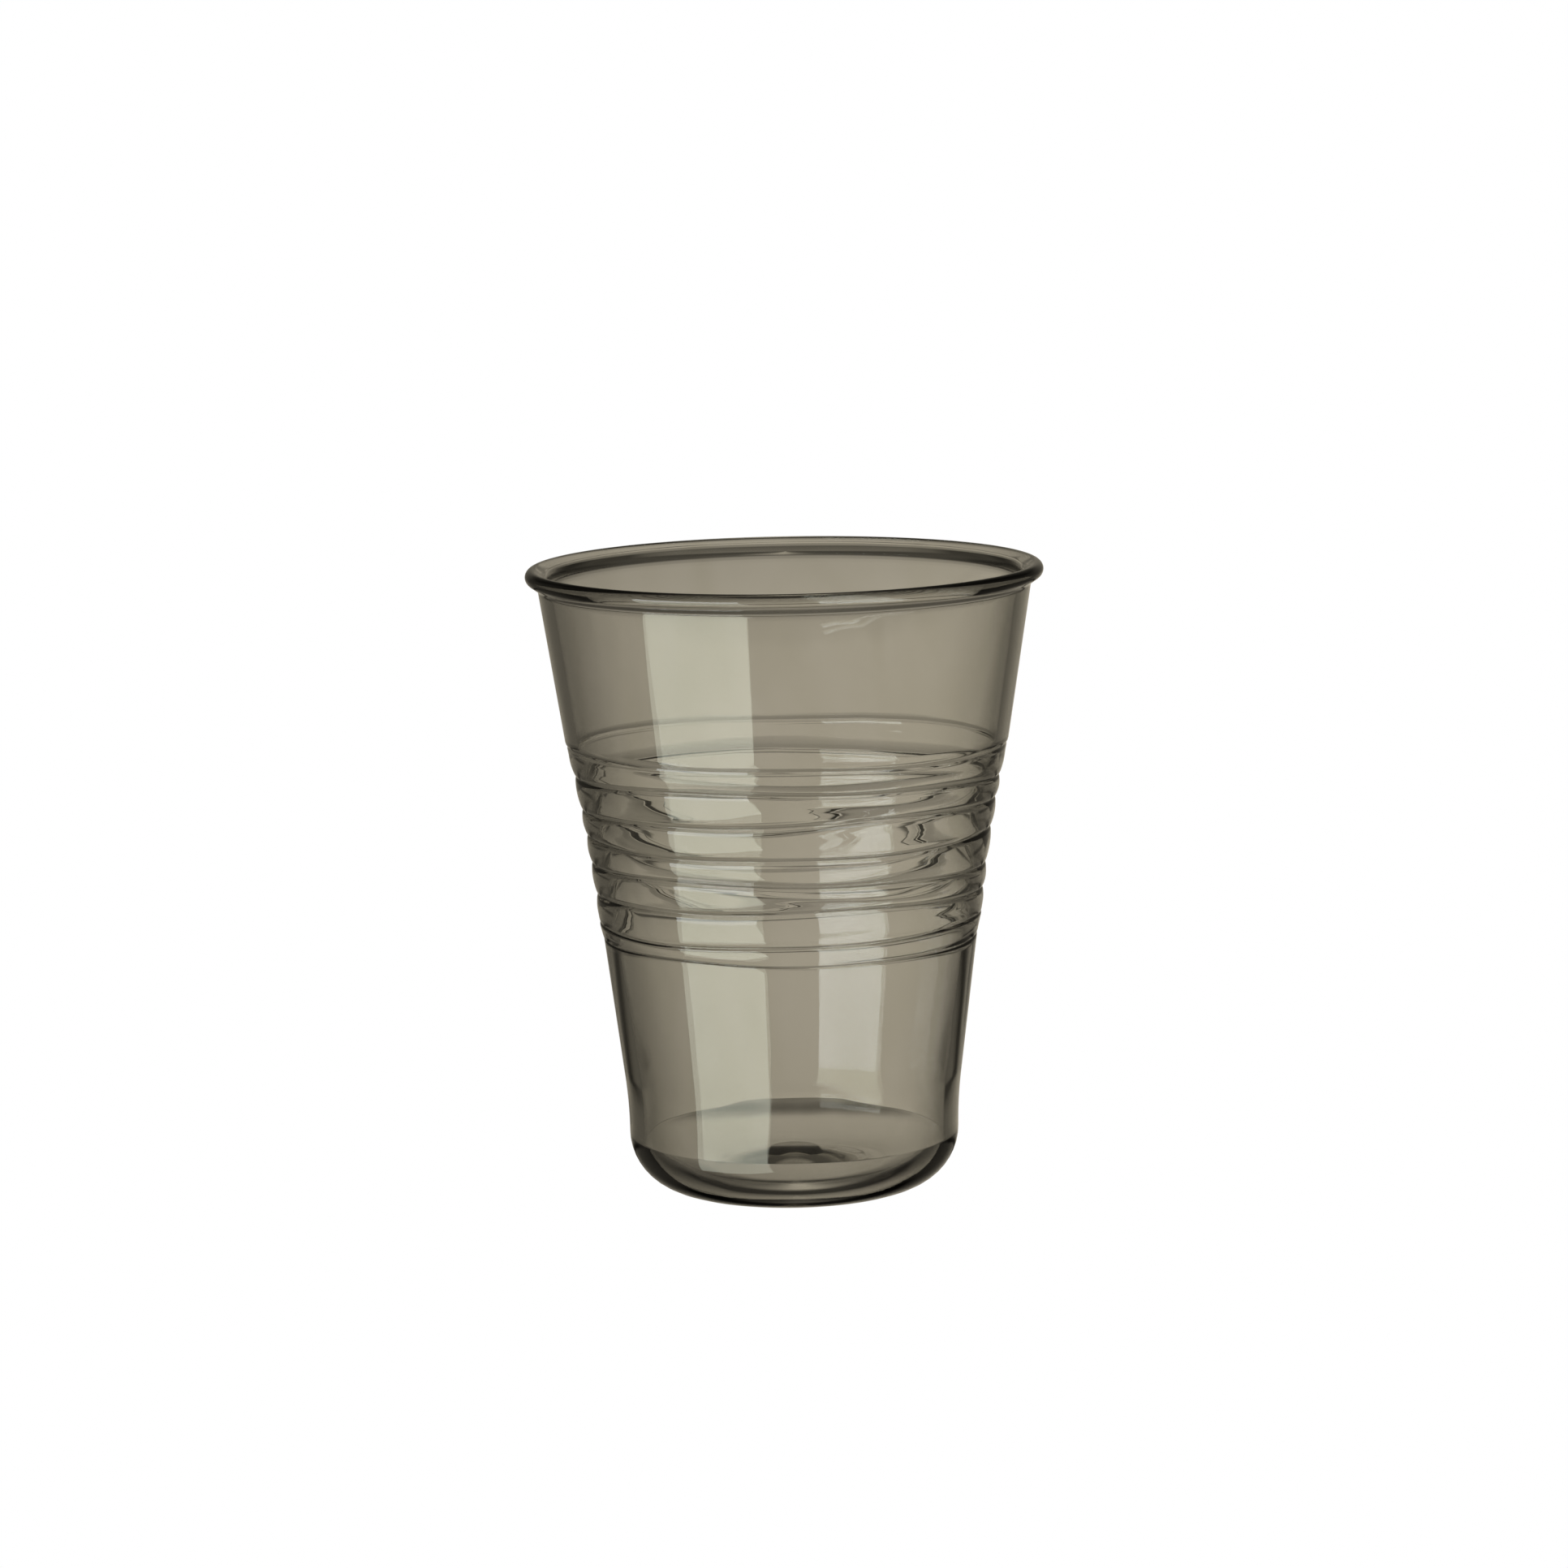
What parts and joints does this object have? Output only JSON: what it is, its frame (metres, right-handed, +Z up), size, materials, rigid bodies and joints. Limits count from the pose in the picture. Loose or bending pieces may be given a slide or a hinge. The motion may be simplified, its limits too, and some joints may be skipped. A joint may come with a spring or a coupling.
{
  "type": "whiskey tumbler",
  "caption": "Tapered smoke-glass tumbler with a flared rounded lip, a band of shallow rings round its waist, a rounded heel and a pushed-up base.",
  "frame": {"origin": "centre of the foot, in the plane that the tumbler stands on", "axes": "+Z up along the tumbler's axis, from the foot to the lip; the tumbler is the same all round, so +X and +Y are any two directions across it"},
  "size_m": [0.082, 0.082, 0.1],
  "materials": {
    "smoke_glass": "clear gloss, grey-olive smoke tint"
  },
  "bodies": {
    "root": {"glass_body": "smoke_glass"}
  },
  "joints": []
}
